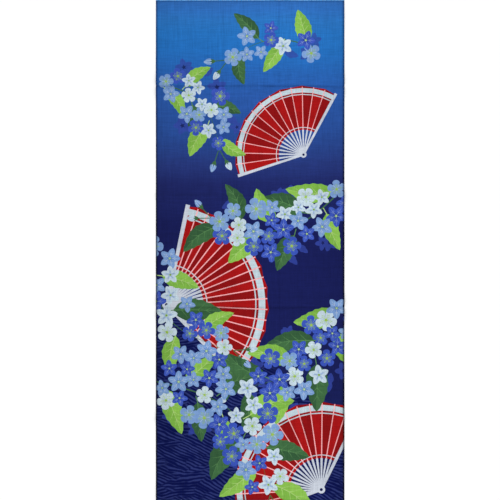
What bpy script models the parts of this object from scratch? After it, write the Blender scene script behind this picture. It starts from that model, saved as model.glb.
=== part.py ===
# A cotton hand towel of the narrow, unhemmed kind, opened out and laid flat on a surface.
# One woven length with a selvedge down each long side and a plain cut at each end. It was
# folded in three lengthwise and in a zigzag crosswise, and the pressed creases still show:
# a valley crease lies on the surface between two raised shoulders, and a ridge crease
# stands up like a low tent. Between them the cloth lies flat, with a few soft swells.
# Metres, +Z up. The origin is the middle of the footprint on the surface, +X runs across
# the cloth, and +Y runs along it, towards the end that is the top of the print.

import math
from collections import namedtuple

import bmesh
import bpy

CLOTH_WIDTH = 0.339
CLOTH_LENGTH = 0.900
CLOTH_THICKNESS = 0.001
CLOTH_COLOUR = (0.035, 0.085, 0.32, 1.0)
CLOTH_ROUGHNESS = 0.9

GRID_STEP = 0.0165  # the widest spacing of the lines that the folds are modelled on
CREASE_STEPS = (0.0, 0.45, 1.0, 2.0)  # grid lines beside a crease, in reaches from it
SETTLED_BELOW = 0.0005  # what would stand lower than this lies flat on the surface
SOFT_CONTACT = 0.0003  # how gently the cloth leaves the surface where it starts to rise
SIDE_WAVER = 0.0003  # how far the long sides stray from a straight line
SIDE_WAVER_LENGTH = 0.31

# A crease that runs "across" lies at a y, and one that runs "along" lies at an x.
Crease = namedtuple("Crease", "runs place form height reach strength_swing")
CREASES = (
    Crease("across", 0.2952, "valley", 0.0027, 0.0085, 0.25),
    Crease("across", 0.0963, "ridge", 0.0030, 0.0110, 0.35),
    Crease("across", -0.1026, "valley", 0.0027, 0.0085, 0.20),
    Crease("across", -0.3015, "ridge", 0.0026, 0.0110, 0.40),
    Crease("along", 0.0526, "valley", 0.0016, 0.0080, 0.45),
    Crease("along", -0.0534, "ridge", 0.0018, 0.0100, 0.40),
)
STRENGTH_WAVE = 0.23  # length of the waves in which a crease is pressed harder and softer
STRENGTH_SHIFT = 40.0  # radians of shift per metre of place, so that creases differ

# A swell is a low oval rise, with its long way turned from +X by turn degrees.
Swell = namedtuple("Swell", "x y long_way short_way turn height")
SWELLS = (
    Swell(-0.112, 0.372, 0.070, 0.030, 24, 0.0016),
    Swell(0.098, 0.405, 0.055, 0.026, -12, 0.0013),
    Swell(0.008, 0.192, 0.052, 0.034, 68, 0.0012),
    Swell(0.120, 0.205, 0.060, 0.024, -38, 0.0015),
    Swell(-0.118, 0.030, 0.058, 0.026, 80, 0.0014),
    Swell(0.112, -0.005, 0.066, 0.026, 58, 0.0014),
    Swell(-0.004, -0.196, 0.056, 0.030, -28, 0.0013),
    Swell(-0.126, -0.222, 0.060, 0.024, 96, 0.0016),
    Swell(0.128, -0.258, 0.056, 0.026, 74, 0.0015),
    Swell(0.010, -0.395, 0.072, 0.028, 10, 0.0015),
    Swell(-0.150, -0.430, 0.050, 0.024, 40, 0.0019),
    Swell(0.152, 0.436, 0.048, 0.022, 128, 0.0017),
)


def clear_scene():
    for obj in list(bpy.data.objects):
        bpy.data.objects.remove(obj, do_unlink=True)


def crease_height(crease, x, y):
    """How high one crease lifts the underside at a point."""
    off, along = (y - crease.place, x) if crease.runs == "across" else (x - crease.place, y)
    reaches = abs(off) / crease.reach
    wave = math.sin(2 * math.pi * along / STRENGTH_WAVE + STRENGTH_SHIFT * crease.place)
    height = crease.height * (1 + crease.strength_swing * wave)
    if crease.form == "valley":
        return height * reaches * math.exp(1 - reaches)
    return height * math.exp(-reaches)


def swell_height(swell, x, y):
    """How high one swell lifts the underside at a point."""
    turn = math.radians(swell.turn)
    dx, dy = x - swell.x, y - swell.y
    along = (dx * math.cos(turn) + dy * math.sin(turn)) / swell.long_way
    across = (dy * math.cos(turn) - dx * math.sin(turn)) / swell.short_way
    return swell.height * math.exp(-along * along - across * across)


def underside_height(x, y):
    """The height of the cloth's underside over the surface it lies on."""
    rise = sum(crease_height(crease, x, y) for crease in CREASES)
    rise += sum(swell_height(swell, x, y) for swell in SWELLS)
    free = max(0.0, rise - SETTLED_BELOW)
    return free * free / (free + SOFT_CONTACT)


def grid_lines(runs, half_span):
    """Places of the grid lines: on and beside each crease, and evenly in between."""
    marks = {-half_span, half_span}
    for crease in CREASES:
        if crease.runs != runs:
            continue
        for steps in CREASE_STEPS:
            marks |= {crease.place - steps * crease.reach, crease.place + steps * crease.reach}
    ordered = sorted(marks)
    lines = [ordered[0]]
    for start, end in zip(ordered, ordered[1:]):
        parts = math.ceil((end - start) / GRID_STEP)
        lines += [start + (end - start) * part / parts for part in range(1, parts + 1)]
    return lines


def side_waver(x, y):
    """How far a point strays sideways, most at the long sides."""
    share = 2 * x / CLOTH_WIDTH
    return -SIDE_WAVER * share * (1 - math.cos(2 * math.pi * y / SIDE_WAVER_LENGTH)) / 2


def cloth_mesh():
    """The underside as one surface, shaped by its creases and swells."""
    xs = grid_lines("along", CLOTH_WIDTH / 2)
    ys = grid_lines("across", CLOTH_LENGTH / 2)
    bm = bmesh.new()
    bmesh.ops.create_grid(bm, x_segments=len(xs) - 1, y_segments=len(ys) - 1, size=0.5)
    for vert in bm.verts:
        x = xs[round((vert.co.x + 0.5) * (len(xs) - 1))]
        y = ys[round((vert.co.y + 0.5) * (len(ys) - 1))]
        vert.co = (x + side_waver(x, y), y, underside_height(x, y))
    mesh = bpy.data.meshes.new("cloth")
    bm.to_mesh(mesh)
    bm.free()
    mesh.shade_smooth()
    return mesh


def cotton_material():
    material = bpy.data.materials.new("dyed_cotton")
    material.use_nodes = True
    shader = material.node_tree.nodes["Principled BSDF"]
    shader.inputs["Base Color"].default_value = CLOTH_COLOUR
    shader.inputs["Roughness"].default_value = CLOTH_ROUGHNESS
    shader.inputs["Metallic"].default_value = 0.0
    return material


def build_cloth():
    """The whole towel: the underside surface given its thickness upwards."""
    cloth = bpy.data.objects.new("cloth", cloth_mesh())
    bpy.context.scene.collection.objects.link(cloth)
    cloth.data.materials.append(cotton_material())
    thickness = cloth.modifiers.new("thickness", "SOLIDIFY")
    thickness.thickness = CLOTH_THICKNESS
    thickness.offset = 1.0
    thickness.use_rim = True
    return cloth


clear_scene()
build_cloth()
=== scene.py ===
import math
import random

import bmesh
import bpy
import numpy as np
from mathutils import Matrix, Vector
from mathutils.geometry import delaunay_2d_cdt


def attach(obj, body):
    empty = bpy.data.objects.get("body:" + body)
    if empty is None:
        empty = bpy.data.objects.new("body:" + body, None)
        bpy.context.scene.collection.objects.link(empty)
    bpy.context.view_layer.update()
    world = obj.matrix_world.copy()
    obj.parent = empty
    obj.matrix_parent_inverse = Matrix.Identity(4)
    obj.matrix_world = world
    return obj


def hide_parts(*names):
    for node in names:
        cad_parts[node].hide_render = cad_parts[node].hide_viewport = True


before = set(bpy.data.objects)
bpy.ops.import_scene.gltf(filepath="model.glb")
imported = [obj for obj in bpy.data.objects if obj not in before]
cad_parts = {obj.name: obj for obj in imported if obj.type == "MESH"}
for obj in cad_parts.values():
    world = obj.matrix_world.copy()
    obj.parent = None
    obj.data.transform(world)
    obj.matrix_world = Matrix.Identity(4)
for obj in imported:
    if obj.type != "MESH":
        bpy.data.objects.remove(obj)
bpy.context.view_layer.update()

# A narrow cotton towel lying face up on a pale floor, with its pressed fold creases.
# Metres, and +Y towards the end that is the top of the print.

towel = {
    "width": 0.339,
    "length": 0.900,
    "thickness": 0.00035,
    "gridStep": 0.0072,
    "creaseLines": (0.0, 0.18, 0.45, 0.85, 1.35, 2.1),  # grid lines beside a crease, in reaches
    "settledBelow": 0.0005,  # what would stand lower than this lies flat on the surface
    "softContact": 0.0003,  # how gently the cloth leaves the surface
    "sideWaver": 0.0002,  # how far the long sides stray from a straight line
    "sideWaverLength": 0.31,
    "strengthWave": 0.23,  # how often a crease is pressed harder and softer
    "strengthShift": 40.0,  # radians for each metre of its place, so that creases differ
    "pucker": 0.0004,  # low waves that a crease draws into the cloth beside it
    "puckerLength": 0.031,  # of one wave along the crease
    "puckerReach": 0.016,
    "puckerSlant": 90.0,  # radians for each metre away from the crease
    "puckerShift": 7.0,  # so that creases differ
    "creases": (
        # runs, place, form, height, reach, swing
        ("across", 0.2952, "valley", 0.0027, 0.0085, 0.25),
        ("across", 0.0963, "ridge", 0.0030, 0.0110, 0.35),
        ("across", -0.1026, "valley", 0.0027, 0.0085, 0.20),
        ("across", -0.3015, "ridge", 0.0026, 0.0110, 0.40),
        ("along", 0.0526, "valley", 0.0016, 0.0080, 0.45),
        ("along", -0.0534, "ridge", 0.0018, 0.0100, 0.40),
    ),
    "swells": (
        # x, y, long way, short way, turn in degrees, height
        (-0.112, 0.372, 0.070, 0.030, 24, 0.0016),
        (0.098, 0.405, 0.055, 0.026, -12, 0.0013),
        (0.008, 0.192, 0.052, 0.034, 68, 0.0012),
        (0.120, 0.205, 0.060, 0.024, -38, 0.0015),
        (-0.118, 0.030, 0.058, 0.026, 80, 0.0014),
        (0.112, -0.005, 0.066, 0.026, 58, 0.0014),
        (-0.004, -0.196, 0.056, 0.030, -28, 0.0013),
        (-0.126, -0.222, 0.060, 0.024, 96, 0.0016),
        (0.128, -0.258, 0.056, 0.026, 74, 0.0015),
        (0.010, -0.395, 0.072, 0.028, 10, 0.0015),
        (-0.150, -0.430, 0.050, 0.024, 40, 0.0019),
        (0.152, 0.436, 0.048, 0.022, 128, 0.0017),
    ),
}


def undersideHeight(x, y):
    rise = np.zeros_like(x)
    for runs, place, form, height, reach, swing in towel["creases"]:
        off, along = (y - place, x) if runs == "across" else (x - place, y)
        reaches = np.abs(off) / reach
        wave = np.sin(2 * math.pi * along / towel["strengthWave"] + towel["strengthShift"] * place)
        shape = reaches * np.exp(1 - reaches) if form == "valley" else np.exp(-reaches)
        rise += height * (1 + swing * wave) * shape
        drawn = np.exp(-(off / towel["puckerReach"]) ** 2) * (1 - np.exp(-reaches))
        waver = np.sin(2 * math.pi * along / towel["puckerLength"] + towel["puckerSlant"] * off
                       + towel["puckerShift"] * place / reach)
        rise += towel["pucker"] * drawn * (0.5 + 0.5 * waver) * (1 + wave) / 2
    for sx, sy, longWay, shortWay, turn, height in towel["swells"]:
        c, s = math.cos(math.radians(turn)), math.sin(math.radians(turn))
        along = ((x - sx) * c + (y - sy) * s) / longWay
        across = ((y - sy) * c - (x - sx) * s) / shortWay
        rise += height * np.exp(-along ** 2 - across ** 2)
    free = np.maximum(0.0, rise - towel["settledBelow"])
    return free ** 2 / (free + towel["softContact"])


def sideWaver(x, y):
    turn = 2 * math.pi * y / towel["sideWaverLength"]
    return -towel["sideWaver"] * 2 * x / towel["width"] * (1 - np.cos(turn)) / 2


# The print is drawn in millimetres from the middle of the cloth. A shape is an outline and a
# dye, and a later shape covers an earlier one.
dyes = {
    # red, green, blue and how fully it covers the ground
    "white": (198, 217, 229, 1.0), "whiteHeart": (170, 193, 220, 1.0), "whiteLine": (142, 166, 206, 1.0),
    "pale": (124, 159, 211, 1.0), "paleHeart": (100, 135, 198, 1.0), "paleLine": (186, 205, 228, 1.0),
    "royal": (59, 85, 185, 1.0), "royalHeart": (46, 66, 160, 1.0), "royalLine": (132, 155, 214, 1.0),
    "deep": (52, 70, 160, 0.75), "deepLine": (26, 34, 92, 0.9),
    "lime": (141, 194, 82, 1.0), "limeHeart": (126, 180, 72, 1.0), "limeLine": (176, 209, 128, 1.0),
    "leaf": (64, 107, 66, 1.0), "leafHeart": (53, 92, 59, 1.0), "leafLine": (90, 136, 84, 1.0),
    "red": (167, 19, 21, 1.0), "redHeart": (141, 15, 18, 1.0), "rib": (255, 180, 184, 1.0),
    "band": (193, 212, 221, 1.0), "stick": (202, 209, 221, 1.0), "stamen": (154, 190, 82, 1.0),
    "ink": (22, 28, 80, 1.0),
}

printed = {
    "seed": 11,
    "blossom": (14.5, 20.5),  # least and most radius
    "blossomGap": 0.72,  # how near two blossoms come, as a share of their radii
    "bellflowers": 0.62,  # share of the blossoms, and the rest are plum blossoms
    "silhouette": (13.0, 18.0),  # radius of the dark flowers that peep out at the rim of a garland
    "silhouettes": 0.45,  # for each blossom
    "silhouetteOut": (0.95, 1.5),  # how far out they lie, in half widths
    "leafLength": (66, 92),
    "leafWidth": (0.40, 0.50),  # as a share of the length
    "leafTurn": (38, 72),  # degrees off the garland's line
    "stemWidth": 2.4,
    "endBuds": (("pale", -0.5), ("white", 0.35)),  # dye and how far each turns off the line's end
    "endBud": 9.5,
    "highUp": 300,  # a garland that starts above this is smaller
    "garlands": (
        # from x, y, to x, y, bend, half width, blossoms, leaves
        (122, 362, -40, 342, -0.16, 22, 9, 4),
        (-164, 300, -56, 182, 0.20, 36, 18, 6),
        (168, 112, -70, 58, 0.20, 44, 27, 8),
        (-168, 18, -30, -180, -0.26, 44, 28, 7),
        (166, -98, -20, -250, 0.16, 44, 28, 8),
        (-168, -236, 36, -440, 0.20, 54, 38, 10),
    ),
    "fans": (
        # pivot x, y, radius, turn, spread, pleats
        (96, 172, 124, 130, 136, 14),
        (-150, -98, 184, 16, 124, 20),
        (128, -430, 158, 132, 136, 16),
    ),
}


def polar(radius, angle):
    return radius * math.cos(angle), radius * math.sin(angle)


def placed(points, x, y, turn=0.0, size=1.0):
    c, s = math.cos(turn) * size, math.sin(turn) * size
    return [(x + px * c - py * s, y + px * s + py * c) for px, py in points]


def ring(petals, steps, radiusAt):  # radiusAt takes 0 on a petal's middle to 1 between two petals
    turns = [(petal, step / steps) for petal in range(petals) for step in range(-steps, steps)]
    return [polar(radiusAt(abs(s)), (petal + s / 2) * 2 * math.pi / petals) for petal, s in turns]


def disc(radius, sides):
    return [polar(radius, 2 * math.pi * side / sides) for side in range(sides)]


def ribbon(path, widthAt):  # a band along a path, as wide as widthAt says from 0 to 1 along it
    left, right = [], []
    last = len(path) - 1
    for i, (x, y) in enumerate(path):
        (ax, ay), (bx, by) = path[max(i - 1, 0)], path[min(i + 1, last)]
        half = widthAt(i / last) / 2 / math.hypot(bx - ax, by - ay)
        left.append((x - (by - ay) * half, y + (bx - ax) * half))
        right.append((x + (by - ay) * half, y - (bx - ax) * half))
    return left + right[::-1]


def curved(points, steps):  # a smooth line through a few points
    line = []
    for i in range(len(points) - 1):
        near = [points[min(max(i + k, 0), len(points) - 1)] for k in (-1, 0, 1, 2)]
        for t in (k / steps for k in range(steps)):
            line.append(tuple(
                b + 0.5 * t * (c - a + t * (2 * a - 5 * b + 4 * c - d + t * (3 * b - a - 3 * c + d)))
                for a, b, c, d in zip(*near)))
    return line + [points[-1]]


def bowed(ax, ay, bx, by, bend, steps):
    bows = [(k / steps, bend * math.sin(math.pi * k / steps)) for k in range(steps + 1)]
    return [(ax + (bx - ax) * t - (by - ay) * bow, ay + (by - ay) * t + (bx - ax) * bow) for t, bow in bows]


def alongLine(line, t):  # the point and the heading at a share of a line
    spot = min(max(t, 0.0), 0.9999) * (len(line) - 1)  # always short of the last point
    (ax, ay), (bx, by) = line[int(spot)], line[int(spot) + 1]
    share = spot % 1
    return ax + (bx - ax) * share, ay + (by - ay) * share, math.atan2(by - ay, bx - ax)


# A flower or a fan is drawn about (0, 0) in shares of its radius, and then placed. The deep ones
# are plain silhouettes.
def bellEdge(s):
    return 0.56 + 0.44 * (1 - s) ** 1.25 + 0.10 * math.sin(math.pi * s) * (1 - s)


def bellflower(x, y, radius, turn, tint):
    shapes = [(ring(5, 5, bellEdge), tint)]
    if tint == "deep":
        shapes.append((ring(5, 1, lambda s: 0.30 - 0.16 * s), "deepLine"))
    else:
        shapes.append((ring(5, 3, lambda s: 0.20 + 0.36 * (1 - s) ** 1.6), tint + "Heart"))
        for angle in (petal * 2 * math.pi / 5 for petal in range(5)):
            veins = [(polar(0.20, angle), polar(0.88, angle), 0.05)]
            for side in (-0.30, 0.30):
                veins.append((polar(0.36, angle + side * 0.45), polar(0.66, angle + side), 0.036))
            for start, end, width in veins:
                shapes.append((ribbon([start, end], lambda t: width * (1.15 - t)), tint + "Line"))
        shapes.append((ring(5, 1, lambda s: 0.17 - 0.08 * s), "stamen"))
        shapes.append((disc(0.055, 5), "leaf" if tint == "white" else "white"))
    return [(placed(points, x, y, turn, radius), dye) for points, dye in shapes]


def plumBlossom(x, y, radius, turn, tint):
    shapes = [(ring(5, 5, lambda s: 0.55 + 0.45 * math.sqrt(1 - s ** 2.2)), tint)]
    upper = [(0.10, 0.013), (0.46, 0.013), (0.52, 0.04)]
    pin = [(px, -py) for px, py in upper] + [(0.57, 0)] + upper[::-1]
    if tint == "deep":
        shapes.append((disc(0.16, 7), "deepLine"))
    else:
        for middle in (petal * 2 * math.pi / 5 for petal in range(5)):
            seam = [polar(0.16, middle + math.pi / 5), polar(0.56, middle + math.pi / 5)]
            shapes.append((ribbon(seam, lambda t: 0.035), tint + "Line"))
            for side, size in ((-0.27, 0.86), (0.0, 1.04), (0.27, 0.86)):
                shapes.append((placed(pin, 0, 0, middle + side, size), "stamen"))
        shapes.append((disc(0.14, 8), "stamen"))
    return [(placed(points, x, y, turn, radius), dye) for points, dye in shapes]


def bud(x, y, radius, turn, tint):
    body = [(-0.8, 0), (-0.35, -0.56), (0.35, -0.52), (1.05, 0), (0.35, 0.52), (-0.35, 0.56), (-0.8, 0)]
    below = [(-1.25, -0.07), (-0.90, -0.34), (-0.28, -0.50), (-0.55, -0.16)]
    cup = below + [(-0.10, 0)] + [(cx, -cy) for cx, cy in below[::-1]]
    shapes = [(curved(body, 3)[:-1], tint)]
    if tint != "deep":
        for bend in (-0.2, 0.2):
            line = [(-0.5, bend), (0.2, bend * 1.2), (0.9, bend * 0.15)]
            shapes.append((ribbon(line, lambda t: 0.07), tint + "Line"))
    shapes.append((cup, "deep" if tint == "deep" else "leaf"))
    return [(placed(points, x, y, turn, radius), dye) for points, dye in shapes]


def leaf(x, y, length, width, turn, bend, tint):
    steps = 12
    middle = []
    for k in range(steps + 1):
        middle.append((length * k / steps, bend * length * math.sin(math.pi * k / steps) / 2))

    def edge(side):  # toothed, and widest nearer the stalk
        line = [middle[0]]
        for k in range(1, steps):
            half = width / 2 * math.sin(math.pi * (k / steps) ** 0.75) ** 0.8 * (1.04 if k % 2 else 0.95)
            line.append((middle[k][0] + (0.012 * length if k % 2 else 0), middle[k][1] + side * half))
        return line + [middle[-1]]

    left, right = edge(1), edge(-1)
    stalk = [(-0.16 * length, -0.03 * length)] + middle[::2]
    shapes = [(left + right[-2:0:-1], tint), (middle + right[-2:0:-1], tint + "Heart")]
    shapes.append((ribbon(stalk, lambda t: 1.5 * (1.15 - t)), tint + "Line"))
    for k in (2, 4, 6, 8):
        for side in (left, right):
            (ax, ay), (bx, by) = middle[k], side[k + 2]
            bowedOut = ((0, 0), (0.55, 0.48), (0.86, 0.84))
            vein = [(ax + sx * (bx - ax), ay + sy * (by - ay)) for sx, sy in bowedOut]
            shapes.append((ribbon(vein, lambda t: 0.75 * (1.2 - t)), tint + "Line"))
    return [(placed(points, x, y, turn), dye) for points, dye in shapes]


def foldingFan(x, y, radius, turn, spread, pleats):
    angles = [spread * (k / pleats - 0.5) for k in range(pleats + 1)]
    foot, dip = 0.36, 0.982  # where the paper starts, and how far out its inner folds reach
    shapes = []
    for angle in angles:
        stick = [polar(0.02, angle), polar(foot + 0.01, angle)]
        shapes.append((ribbon(stick, lambda t: 0.012 + 0.014 * t), "stick"))
    top = [polar(1.0 if k % 2 else dip, angle) for k, angle in enumerate(angles)]
    shapes.append((top + [polar(foot, angle) for angle in angles[::-1]], "red"))
    for a, b in zip(angles[0::2], angles[1::2]):
        shapes.append(([polar(dip, a), polar(1.0, b), polar(foot, b), polar(foot, a)], "redHeart"))
    for low, high in ((0.90, 0.965), (0.866, 0.878), (0.39, 0.40)):
        arc = [polar(low, angle) for angle in angles] + [polar(high, angle) for angle in angles[::-1]]
        shapes.append((arc, "band"))
    for angle in angles[1:-1]:
        shapes.append((ribbon([polar(foot, angle), polar(0.985, angle)], lambda t: 0.0110), "rib"))
    for angle in (angles[0], angles[-1]):
        shapes.append((ribbon([(0, 0), polar(1.0, angle)], lambda t: 0.030 + 0.012 * t), "stick"))
    shapes += [(disc(0.045, 12), "stick"), (disc(0.018, 8), "ink")]
    return [(placed(points, x, y, turn, radius), dye) for points, dye in shapes]


def garland(row, taken, rng):
    ax, ay, bx, by, bend, half, count, leafCount = row
    size = 0.88 if ay >= printed["highUp"] else 1.0
    line = bowed(ax, ay, bx, by, bend, 24)
    stems = [(ribbon(line, lambda t: printed["stemWidth"] * (1.1 - t)), "leaf")]
    shadows, leaves, blossoms = [], [], []

    def spot(t, across):  # a garland is widest in its middle
        x, y, way = alongLine(line, t)
        side = across * half * (0.35 + 0.65 * math.sin(math.pi * t) ** 0.7)
        return x - math.sin(way) * side, y + math.cos(way) * side, way

    for k in range(leafCount):
        side = 1 if k % 2 else -1
        x, y, way = spot((k + 0.5) / leafCount, side * 0.35)
        length = rng.uniform(*printed["leafLength"]) * size ** 2
        turn = way + side * math.radians(rng.uniform(*printed["leafTurn"]))
        width = length * rng.uniform(*printed["leafWidth"])
        leaves += leaf(x, y, length, width, turn, rng.uniform(-0.25, 0.25), ("lime", "leaf")[k // 2 % 2])
    for k in range(round(count * printed["silhouettes"])):
        t = rng.uniform(0.05, 0.95)
        x, y, way = spot(t, rng.choice((-1, 1)) * rng.uniform(*printed["silhouetteOut"]))
        make, share = (bellflower, 1.0) if k % 3 else (bud, 0.7)
        radius = rng.uniform(*printed["silhouette"]) * share
        shadows += make(x, y, radius, rng.uniform(0, 2 * math.pi), "deep")
    rows = []
    for k in range(count * 14):
        if len(rows) == count:
            break
        t, across = (0.5 + k * 0.6180339) % 1.0, 2 * ((0.5 + k * 0.7548777) % 1.0) - 1  # evenly spread
        x, y, way = spot(0.03 + 0.94 * t, across)
        radius = rng.uniform(*printed["blossom"]) * size
        if all(math.hypot(x - a, y - b) > (radius + r) * printed["blossomGap"] for a, b, r in taken):
            taken.append((x, y, radius))
            rows.append((abs(across), x, y, radius))
    for across, x, y, radius in sorted(rows, reverse=True):  # the outer ones lie under the inner
        tint = rng.choices(("white", "pale", "royal"), (1.7 - 0.7 * across, 2.7, 1.3 + 2.2 * across))[0]
        make = bellflower if rng.random() < printed["bellflowers"] else plumBlossom
        blossoms += make(x, y, radius, rng.uniform(0, 2 * math.pi), tint)
    x, y, way = alongLine(line, 1.0)
    for tint, swing in printed["endBuds"]:
        tips = [placed([(reach, 0)], x, y, way + swing)[0] for reach in (26, 34)]
        stems.append((ribbon([(x, y), tips[0]], lambda t: 1.6), "leaf"))
        blossoms += bud(*tips[1], printed["endBud"], way + swing, tint)
    return shadows, stems, leaves, blossoms


def printShapes():
    rng = random.Random(printed["seed"])
    shapes = []
    taken = []
    shadows, *layers = zip(*[garland(row, taken, rng) for row in printed["garlands"]])
    fans = []
    for x, y, radius, turn, spread, pleats in printed["fans"]:
        fans.append(foldingFan(x, y, radius, math.radians(turn), math.radians(spread), pleats))
    for layer in (shadows, fans, *layers):  # all the shadows first, then the fans, the stems and so on
        shapes += [shape for group in layer for shape in group]
    return shapes


# The sheet is one flat net of triangles whose edges follow the print, lifted onto the folds.
halfWide, halfLong = towel["width"] * 500, towel["length"] * 500  # millimetres


def cutToCloth(ax, ay, bx, by):  # the part of a line that lies on the cloth, or None
    start, end = 0.0, 1.0
    sides = (
        (ax - bx, ax + halfWide), (bx - ax, halfWide - ax),
        (ay - by, ay + halfLong), (by - ay, halfLong - ay))
    for way, room in sides:
        if way < 0:
            start = max(start, room / way)
        elif way > 0:
            end = min(end, room / way)
        elif room < 0:
            return None
    if start >= end:
        return None
    return (ax + start * (bx - ax), ay + start * (by - ay)), (ax + end * (bx - ax), ay + end * (by - ay))


def outlineEdges(shapes):
    numbers, edges = {}, []
    for outline, dye in shapes:
        for (ax, ay), (bx, by) in zip(outline, outline[1:] + outline[:1]):
            cut = cutToCloth(ax, ay, bx, by)
            if cut:
                ends = [numbers.setdefault((round(x, 3), round(y, 3)), len(numbers)) for x, y in cut]
                edges.append(ends)
    return list(numbers), [ends for ends in edges if ends[0] != ends[1]]


def gridMarks(runs, half):
    marks = {-half, half}
    for way, place, form, height, reach, swing in towel["creases"]:
        if way == runs:
            for reaches in towel["creaseLines"]:
                marks |= {1000 * (place - reaches * reach), 1000 * (place + reaches * reach)}
    ordered = sorted(marks)
    lines = ordered[:1]
    for start, end in zip(ordered, ordered[1:]):
        parts = math.ceil((end - start) / (1000 * towel["gridStep"]))
        lines += [start + (end - start) * part / parts for part in range(1, parts + 1)]
    return lines


def netted(points, edges):  # points within 0.01 mm of each other become one
    found = delaunay_2d_cdt([Vector(point) for point in points], edges, [], 0, 0.01, False)
    return np.array([tuple(point) for point in found[0]]), np.array(found[2])


def topShapes(points, faces, shapes):  # for each face, the number of the shape that covers it last
    middles = points[faces].mean(axis=1)
    order = np.argsort(middles[:, 1])
    x, y = middles[order].T
    found = np.full(len(faces), -1)
    for number, (outline, dye) in enumerate(shapes):
        line = np.array(outline)
        (lowX, lowY), (highX, highY) = line.min(axis=0), line.max(axis=0)
        rows = np.arange(*np.searchsorted(y, (lowY, highY)))
        rows = rows[(x[rows] > lowX) & (x[rows] < highX)]
        (ax, ay), (bx, by) = line.T, np.roll(line, -1, axis=0).T
        faceX, faceY = x[rows, None], y[rows, None]
        crosses = (ay > faceY) != (by > faceY)
        rise = np.where(by == ay, 1.0, by - ay)
        inside = (crosses & (ax + (faceY - ay) * (bx - ax) / rise > faceX)).sum(axis=1) % 2 == 1
        found[order[rows[inside]]] = number
    return found


def shownEdges(faces, looks):  # only the edges where the dye changes
    ends = np.sort(np.concatenate([faces[:, [0, 1]], faces[:, [1, 2]], faces[:, [2, 0]]]), axis=1)
    looks = np.tile(looks, 3)
    order = np.lexsort(ends.T)
    ends, looks = ends[order], looks[order]
    same = (ends[1:] == ends[:-1]).all(axis=1)
    return ends[1:][same & (looks[1:] != looks[:-1])]


def linear(value):
    value = value / 255
    return value / 12.92 if value <= 0.04045 else ((value + 0.055) / 1.055) ** 2.4


def towelSheet():
    shapes = printShapes()
    names = ["ground"] + sorted(dyes)
    dyeOf = np.array([names.index(dye) for outline, dye in shapes] + [0])  # the last is for no shape
    points, faces = netted(*outlineEdges(shapes))
    edges = shownEdges(faces, dyeOf[topShapes(points, faces, shapes)])
    used, numbers = np.unique(edges, return_inverse=True)
    grid = [(x, y) for x in gridMarks("along", halfWide) for y in gridMarks("across", halfLong)]
    points, faces = netted([tuple(points[i]) for i in used] + grid, numbers.reshape(-1, 2).tolist())
    looks = dyeOf[topShapes(points, faces, shapes)]
    print("towel sheet:", len(shapes), "printed shapes,", len(points), "points,", len(faces), "faces")

    x, y = points.T / 1000
    z = undersideHeight(x, y) + towel["thickness"]
    mesh = bpy.data.meshes.new("towel_sheet")
    mesh.from_pydata(np.stack([x + sideWaver(x, y), y, z], axis=1).tolist(), [], faces.tolist())
    mesh.shade_smooth()
    colours = [(0.0, 0.0, 0.0, 0.0)]
    colours += [tuple(linear(value) for value in dyes[name][:3]) + dyes[name][3:] for name in names[1:]]
    dye = mesh.color_attributes.new("dye", "FLOAT_COLOR", "CORNER")
    dye.data.foreach_set("color", np.repeat(np.array(colours)[looks], 3, axis=0).astype(np.float32).ravel())
    sheet = bpy.data.objects.new("towel_sheet", mesh)
    bpy.context.scene.collection.objects.link(sheet)
    thickness = sheet.modifiers.new("thickness", "SOLIDIFY")
    thickness.thickness = towel["thickness"]
    thickness.offset = -1.0
    thickness.material_offset = 1
    return sheet


# Shader sums are written as sums on node outputs.
class Value:
    def __init__(self, paint, output):
        self.paint = paint
        self.output = output

    def maths(self, operation, *others):
        return self.paint.maths(operation, self, *others)

    def __add__(self, other):
        return self.paint.maths("ADD", self, other)

    def __radd__(self, other):
        return self.paint.maths("ADD", other, self)

    def __sub__(self, other):
        return self.paint.maths("SUBTRACT", self, other)

    def __rsub__(self, other):
        return self.paint.maths("SUBTRACT", other, self)

    def __mul__(self, other):
        return self.paint.maths("MULTIPLY", self, other)

    def __truediv__(self, other):
        return self.paint.maths("DIVIDE", self, other)


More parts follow.
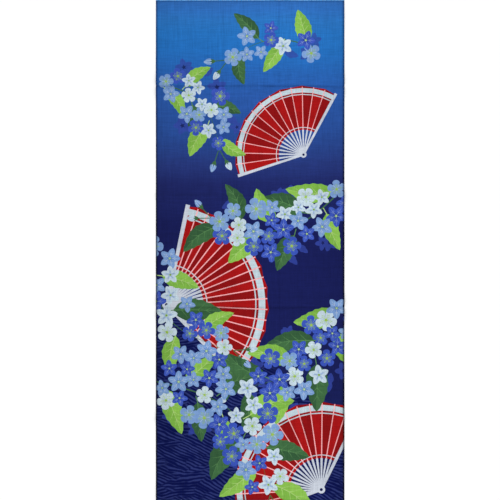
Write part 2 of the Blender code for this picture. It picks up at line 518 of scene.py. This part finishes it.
class Paint:
    def __init__(self, name):
        self.material = bpy.data.materials.new(name)
        self.material.use_nodes = True
        self.tree = self.material.node_tree
        self.shader = self.tree.nodes["Principled BSDF"]

    def node(self, kind, settings, inputs, output=0):
        made = self.tree.nodes.new(kind)
        for name, value in settings.items():
            if name == "stops":  # of a ramp: place and colour
                for k, (place, colour) in enumerate(value):
                    stop = made.color_ramp.elements[k] if k < 2 else made.color_ramp.elements.new(place)
                    stop.position, stop.color = place, colour
            else:
                setattr(made, name, value)
        self.connect(made, inputs)
        return Value(self, made.outputs[output])

    def connect(self, node, inputs):
        for name, value in inputs.items():
            if isinstance(value, Value):
                self.tree.links.new(value.output, node.inputs[name])
            else:
                node.inputs[name].default_value = value

    def maths(self, operation, *values):
        return self.node("ShaderNodeMath", {"operation": operation}, dict(enumerate(values)))

    def place(self):
        place = self.node("ShaderNodeTexCoord", {}, {}, "Object")
        return [self.node("ShaderNodeSeparateXYZ", {}, {0: place}, axis) for axis in ("X", "Y")]

    def noise(self, x, y, seed, detail=2.0, roughness=0.5):
        spot = self.node("ShaderNodeCombineXYZ", {}, {0: x, 1: y, 2: seed})
        inputs = {"Vector": spot, "Scale": 1.0, "Detail": detail, "Roughness": roughness}
        return self.node("ShaderNodeTexNoise", {}, inputs, "Fac")

    def fade(self, value, start, end, first=0.0, last=1.0):
        inputs = {0: value, 1: start, 2: end, 3: first, 4: last}
        return self.node("ShaderNodeMapRange", {"interpolation_type": "SMOOTHSTEP"}, inputs)

    def mix(self, share, a, b):
        return self.node("ShaderNodeMix", {"data_type": "RGBA"}, {0: share, 6: a, 7: b}, 2)

    def shaded(self, dye, shade):
        return self.node("ShaderNodeVectorMath", {"operation": "SCALE"}, {0: dye, "Scale": shade})

    def finish(self, inputs):
        self.connect(self.shader, inputs)
        return self.material


def colour(red, green, blue):
    return (linear(red), linear(green), linear(blue), 1.0)


cotton = {
    "ground": (
        # share of the length from the low end, and the dye there
        (0.000, (21, 30, 85)),
        (0.370, (23, 29, 87)),
        (0.550, (22, 28, 87)),
        (0.580, (26, 34, 95)),
        (0.634, (30, 39, 101)),
        (0.674, (38, 56, 124)),
        (0.734, (40, 77, 152)),
        (0.814, (42, 90, 170)),
        (0.855, (40, 101, 182)),
        (0.898, (36, 112, 192)),
        (0.934, (38, 115, 193)),
        (0.958, (44, 117, 194)),
        (0.982, (48, 111, 191)),
        (1.000, (49, 106, 181)),
    ),
    "sideFalloff": (
        # painted shade, as the light falls off towards the two sides: from x, to x, and how much darker it
        # is at each
        (-0.165, 0.050, 0.12, 0.00),
        (-0.165, -0.125, 0.07, 0.00),
        (0.085, 0.175, 0.00, 0.09),
    ),
    "groundWaver": 0.012,  # how far the depth of the dye strays, as a share of the length
    "yarns": (
        # how often the shade changes across the cloth and along it, and how much
        (1400.0, 32.0, 0.17),
        (32.0, 1300.0, 0.17),
        (430.0, 40.0, 0.13),
        (48.0, 400.0, 0.13),
        (330.0, 4.0, 0.04),
        (4.0, 290.0, 0.06),
        (24.0, 24.0, 0.05),
    ),
    "weavePitch": 0.00056,  # of two yarns
    "weaveShade": 0.11,
    "weaveDepth": 0.00007,
    "slubDepth": 0.00006,
    "relief": 0.8,  # how strongly that depth catches the light
    "creaseStray": 0.0022,  # how wide a band a crease's line wanders in
    "creaseWear": (0.35, 1.2),  # least and most strength of the painted crease shade and highlight along a crease
    "valleyLine": {"across": (0.0018, 0.23), "along": (0.0010, 0.04)},  # half width and darkness of the painted shade along a valley
    "ridgeLine": {"across": (0.0022, 0.05), "along": (0.0030, 0.04)},  # half width and paleness of the painted highlight along a ridge, with painted shade beside it
    "selvedge": (0.0021, 0.0033),  # its close yarns are dark to the first distance from the side
    "selvedgeShade": (0.36, 0.68),  # at the middle of the length and at the top end
    "selvedgeFlank": (0.0028, 0.0054, 0.80),  # a softer dark beside it: two distances, and the shade there
    "selvedgeYarn": 0.00062,  # pitch of its close yarns
    "endShade": (0.0008, 0.0042, 0.74),  # a soft dark along the two cut ends, in the same way
    "cutEnd": (0.0009, 0.0015, 0.96),  # how far in the cut yarn shows pale, and how much
    "cutUneven": 0.0012,  # how much that depth differs from yarn to yarn
    "cutLow": 0.14,  # how much of that paleness the low end has
    "cutDye": (84, 176, 255),
    "rippleEdge": (-0.080, -0.282),  # the ripples lie below a line between these, left and right
    "rippleEdgeStray": 0.018,
    "rippleEdgeSoft": 0.014,
    "ripplePitch": 0.0054,  # from one stroke to the next
    "rippleSway": 0.017,  # how far a stroke bends
    "rippleFineSway": 0.18,  # a shorter bend on top, as a share of that
    "rippleEnds": (0.32, 0.60, 0.24),  # noise at a stroke's ends, in its middle, and how it thins
    "rippleLine": (0.12, 0.39),  # core and soft rim of a stroke, in pitches
    "ripplePatch": (0.50, 0.54),  # noise outside and inside a patch of another tilt
    "rippleTilts": (4, 19, -8, 29),  # degrees down to the right; each replaces the ones before it in patches
    "ripple": (44, 54, 114),
    "rippleTrough": (4, 14, 75),
    "reverse": 0.42,  # how much paler the dye is on the back
    "undyed": (176, 190, 222),
    "inkUneven": 0.10,  # how much the depth of the print's dyes strays
    "roughness": (0.86, 0.96),
}


def groundDye(paint, x, y):
    waver = (paint.noise(x * 9, y * 7, 3.1, 3.0) - 0.5) * (2 * cotton["groundWaver"])
    share = y / towel["length"] + 0.5 + waver
    stops = [(place, colour(*dye)) for place, dye in cotton["ground"]]
    return paint.node("ShaderNodeValToRGB", {"stops": stops}, {0: share})


def rippled(paint, x, y, ground):  # patches of fine strokes in the low part of the ground
    bend = paint.noise(x * 13, y * 20, 8.2, 1.0) * cotton["rippleSway"]
    bend = bend + paint.noise(x * 70, y * 50, 5.4, 1.0) * (cotton["rippleSway"] * cotton["rippleFineSway"])
    strokes = 0.0
    for seed, tilt in enumerate(math.radians(degrees) for degrees in cotton["rippleTilts"]):
        level = (y * math.cos(tilt) + x * math.sin(tilt) + bend) / cotton["ripplePitch"]
        whole = paint.noise(x * 56, level.maths("FLOOR") * 3.7, 2.6 + seed, 1.0)
        thin = paint.fade(whole, *cotton["rippleEnds"], 0.0)
        apart = (level.maths("FRACT") - 0.5).maths("ABSOLUTE") + thin
        line = paint.fade(apart, *cotton["rippleLine"], 1.0, 0.0)
        if seed:
            patch = paint.fade(paint.noise(x * 15, y * 27, 31.3 + 7 * seed, 1.0), *cotton["ripplePatch"])
            line = strokes + (line - strokes) * patch
        strokes = line
    left, right = cotton["rippleEdge"]
    stray = (paint.noise(x * 34, y * 10, 5.5) - 0.5) * (2 * cotton["rippleEdgeStray"])
    below = x * ((right - left) / towel["width"]) + (left + right) / 2 + stray - y
    deep = paint.fade(below, 0.0, cotton["rippleEdgeSoft"])
    trough = paint.mix(deep, ground, colour(*cotton["rippleTrough"]))
    return paint.mix(strokes * deep, trough, colour(*cotton["ripple"]))


def creaseShade(paint, x, y):  # painted shade and highlight of the creases: 1 away from them, less in a valley and beside a ridge, and more on a ridge
    shade = 1.0
    for runs, place, form, height, reach, swing in towel["creases"]:
        off, along = (y - place, x) if runs == "across" else (x - place, y)
        stray = (paint.noise(along * 26, place * 100, 4.4) - 0.5) * cotton["creaseStray"]
        apart = (off + stray).maths("ABSOLUTE")
        # how strong the painted crease shade and highlight are along the crease
        shadeAlong = paint.noise(along * 38, place * 100, 9.3, 3.0, 0.6)
        shadeAlong = paint.fade(shadeAlong, 0.25, 0.75, *cotton["creaseWear"])
        width, strength = cotton[form + "Line"][runs]
        line = paint.fade(apart, width * 0.2, width * 1.6, 1.0, 0.0)
        if form == "valley":
            shade = shade - line * shadeAlong * strength
        else:
            flank = paint.fade(apart, width * 1.2, width * 3.2, 1.0, 0.0) - line
            shade = shade + (line - flank) * shadeAlong * strength
    return shade


def yarns(paint, x, y):  # slubs and bands in the yarn, as a shade about 1
    shade = 1.0
    for seed, (acrossScale, alongScale, strength) in enumerate(cotton["yarns"]):
        yarn = paint.noise(x * acrossScale, y * alongScale, 11.7 + seed * 5, 1.0)
        shade = shade + (yarn - 0.5) * (2 * strength)
    return shade


def cottonPaint(name, reverse):
    paint = Paint(name)
    x, y = paint.place()
    side = towel["width"] / 2 - x.maths("ABSOLUTE")
    end = towel["length"] / 2 - y.maths("ABSOLUTE")
    laid = paint.node("ShaderNodeAttribute", {"attribute_name": "dye"}, {}, "Color")
    covers = Value(paint, laid.output.node.outputs["Alpha"])
    uneven = paint.noise(x * 46, y * 40, 15.1, 3.0) * (2 * cotton["inkUneven"]) + (1 - cotton["inkUneven"])
    dyed = paint.mix(covers, rippled(paint, x, y, groundDye(paint, x, y)), paint.shaded(laid, uneven))
    if reverse:
        dyed = paint.mix(cotton["reverse"], dyed, colour(*cotton["undyed"]))

    yarn = yarns(paint, x, y)
    shade = yarn * creaseShade(paint, x, y)
    # painted shade: the cloth is darker towards the two sides, where the light falls off
    for sideFalloff in cotton["sideFalloff"]:
        shade = shade * (1 - paint.fade(x, *sideFalloff))
    shade = shade * paint.fade(end, *cotton["endShade"], 1.0)
    shade = shade * paint.fade(side, *cotton["selvedgeFlank"], 1.0)
    darkest = paint.fade(y, 0.0, towel["length"] / 2, *cotton["selvedgeShade"])
    shade = shade * paint.fade(side, *cotton["selvedge"], darkest, 1.0)

    turns = 2 * math.pi / cotton["weavePitch"]
    weave = (x * turns).maths("SINE") * (y * turns).maths("SINE")
    close = (side * (2 * math.pi / cotton["selvedgeYarn"])).maths("SINE")
    close = close * paint.fade(side, *cotton["selvedge"], 1.0, 0.0)
    dyed = paint.shaded(dyed, shade * (1 + weave * cotton["weaveShade"] + close * cotton["weaveShade"]))
    frayed = end + (paint.noise(x * 800, y * 60, 17.3, 1.0) - 0.5) * cotton["cutUneven"]
    pale = paint.fade(frayed, *cotton["cutEnd"], 0.0)
    pale = pale * paint.fade(y, 0.0, towel["length"] / 2, cotton["cutLow"], 1.0)
    dyed = paint.mix(pale * yarn, dyed, colour(*cotton["cutDye"]))
    relief = (weave + close) * cotton["weaveDepth"] + yarn * cotton["slubDepth"]
    inputs = {"Strength": cotton["relief"], "Distance": 1.0, "Height": relief}
    bump = paint.node("ShaderNodeBump", {}, inputs, "Normal")
    low, high = cotton["roughness"]
    rough = paint.noise(x * 60, y * 60, 6.6) * (high - low) + low
    constants = {"Metallic": 0.0, "Specular IOR Level": 0.04, "Sheen Weight": 0.02, "Sheen Roughness": 0.6}
    paint.connect(paint.shader, constants)
    return paint.finish({"Base Color": dyed, "Roughness": rough, "Normal": bump})


# Ends of the cut yarns, which stand out of the two short sides.
cutYarns = {
    "seed": 5,
    "corner": 0.001,  # about how far from the corners the row starts and ends
    "pitch": 0.0011,
    "pitchSwing": (0.5, 1.5),  # shares of it
    "length": (0.0003, 0.0011),
    "longShare": 0.04,  # a few are longer
    "longLength": 0.0036,
    "longSwing": (0.7, 1.2),  # shares of it
    "rooted": 0.0003,  # how far each starts inside the cloth
    "thick": 0.00014,  # radius at the root
    "tip": 0.45,  # of that radius
    "stray": 26,  # degrees to either side
    "steepest": 0.35,  # fall for each unit of length
    "fallSwing": (0.4, 1.0),  # shares of it
    "paleness": 0.30,
}


def cutYarnEnds():
    rng = random.Random(cutYarns["seed"])
    bm = bmesh.new()
    for end in (-1, 1):
        x = -towel["width"] / 2 + cutYarns["corner"]
        while x < towel["width"] / 2 - cutYarns["corner"]:
            x += cutYarns["pitch"] * rng.uniform(*cutYarns["pitchSwing"])
            length = rng.uniform(*cutYarns["length"])
            if rng.random() < cutYarns["longShare"]:
                length = cutYarns["longLength"] * rng.uniform(*cutYarns["longSwing"])
            turn = math.radians(rng.uniform(-1, 1) * cutYarns["stray"])
            y = end * towel["length"] / 2
            z = float(undersideHeight(np.array([x]), np.array([y]))[0]) + towel["thickness"] / 2
            root = Vector((x + float(sideWaver(x, y)), y - end * cutYarns["rooted"], z))
            fall = max(-cutYarns["steepest"], -(z - cutYarns["thick"]) / length)
            fall *= rng.uniform(*cutYarns["fallSwing"])
            way = Vector((math.sin(turn), end * math.cos(turn), fall)).normalized()
            lean = way.to_track_quat("Z", "Y").to_matrix().to_4x4()
            bmesh.ops.create_cone(
                bm, cap_ends=True, segments=4,
                radius1=cutYarns["thick"], radius2=cutYarns["thick"] * cutYarns["tip"],
                depth=length, matrix=Matrix.Translation(root + way * length / 2) @ lean)
    mesh = bpy.data.meshes.new("cut_yarn_ends")
    bm.to_mesh(mesh)
    bm.free()
    mesh.shade_smooth()
    ends = bpy.data.objects.new("cut_yarn_ends", mesh)
    bpy.context.scene.collection.objects.link(ends)
    paint = Paint("cut_yarn")
    x, y = paint.place()
    pale = paint.noise(x * 900, y * 40, 7.7) * (2 * cutYarns["paleness"])
    dyed = paint.mix(pale, groundDye(paint, x, y), colour(*cotton["undyed"]))
    paint.connect(paint.shader, {"Specular IOR Level": 0.06, "Roughness": 0.95})
    mesh.materials.append(paint.finish({"Base Color": dyed}))
    return ends


# A pale floor, soft light from all round and a broad lamp that shines towards +X and +Y.
studio = {
    "floorSize": 60.0,
    "floorDrop": 0.0002,  # so that the cloth's underside stays clear of it
    "floor": (0.98, 0.98, 0.98, 1.0),
    "surround": 0.85,
    "lamp": 0.835,
    "lampAngle": 34,  # degrees across the lamp, so how soft its shadows are
    "lampTilt": (38, -24),  # degrees that it is turned from straight down, about X and about Y
    "cameraHeight": 2.6,
    "seenLength": 0.8986,  # of the floor, from the top to the bottom of the picture
    "sensor": 36.0,
    "cameraPlace": (-0.00024, 0.0006),
}


def studioFloor():
    bm = bmesh.new()
    bmesh.ops.create_grid(bm, x_segments=1, y_segments=1, size=studio["floorSize"] / 2)
    bmesh.ops.translate(bm, verts=bm.verts, vec=(0, 0, -studio["floorDrop"]))
    mesh = bpy.data.meshes.new("studio_floor")
    bm.to_mesh(mesh)
    bm.free()
    floor = bpy.data.objects.new("studio_floor", mesh)
    bpy.context.scene.collection.objects.link(floor)
    paint = Paint("studio_white")
    white = {"Base Color": studio["floor"], "Roughness": 1.0, "Specular IOR Level": 0.0}
    mesh.materials.append(paint.finish(white))


def studioLight():
    world = bpy.data.worlds.new("studio")
    world.use_nodes = True
    surround = world.node_tree.nodes["Background"]
    surround.inputs["Color"].default_value = (1.0, 1.0, 1.0, 1.0)
    surround.inputs["Strength"].default_value = studio["surround"]
    bpy.context.scene.world = world
    lamp = bpy.data.objects.new("studio_lamp", bpy.data.lights.new("studio_lamp", "SUN"))
    lamp.data.energy = studio["lamp"]
    lamp.data.angle = math.radians(studio["lampAngle"])
    lamp.rotation_euler = [math.radians(tilt) for tilt in studio["lampTilt"]] + [0.0]
    bpy.context.scene.collection.objects.link(lamp)


def studioCamera():
    camera = bpy.data.objects.new("studio_camera", bpy.data.cameras.new("studio_camera"))
    camera.data.sensor_width = studio["sensor"]
    camera.data.lens = studio["sensor"] * studio["cameraHeight"] / studio["seenLength"]
    camera.location = studio["cameraPlace"] + (studio["cameraHeight"],)
    bpy.context.scene.collection.objects.link(camera)
    bpy.context.scene.camera = camera
    bpy.context.scene.view_settings.view_transform = "Standard"


sheet = towelSheet()
sheet.data.materials.append(cottonPaint("printed_cotton_face", False))
sheet.data.materials.append(cottonPaint("printed_cotton_back", True))
print("cotton painted")
ends = cutYarnEnds()
print("cut yarns:", len(ends.data.polygons), "faces")
studioFloor()
studioLight()
studioCamera()
print("studio ready")

for piece in (sheet, ends):
    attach(piece, "root")
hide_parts("cloth")
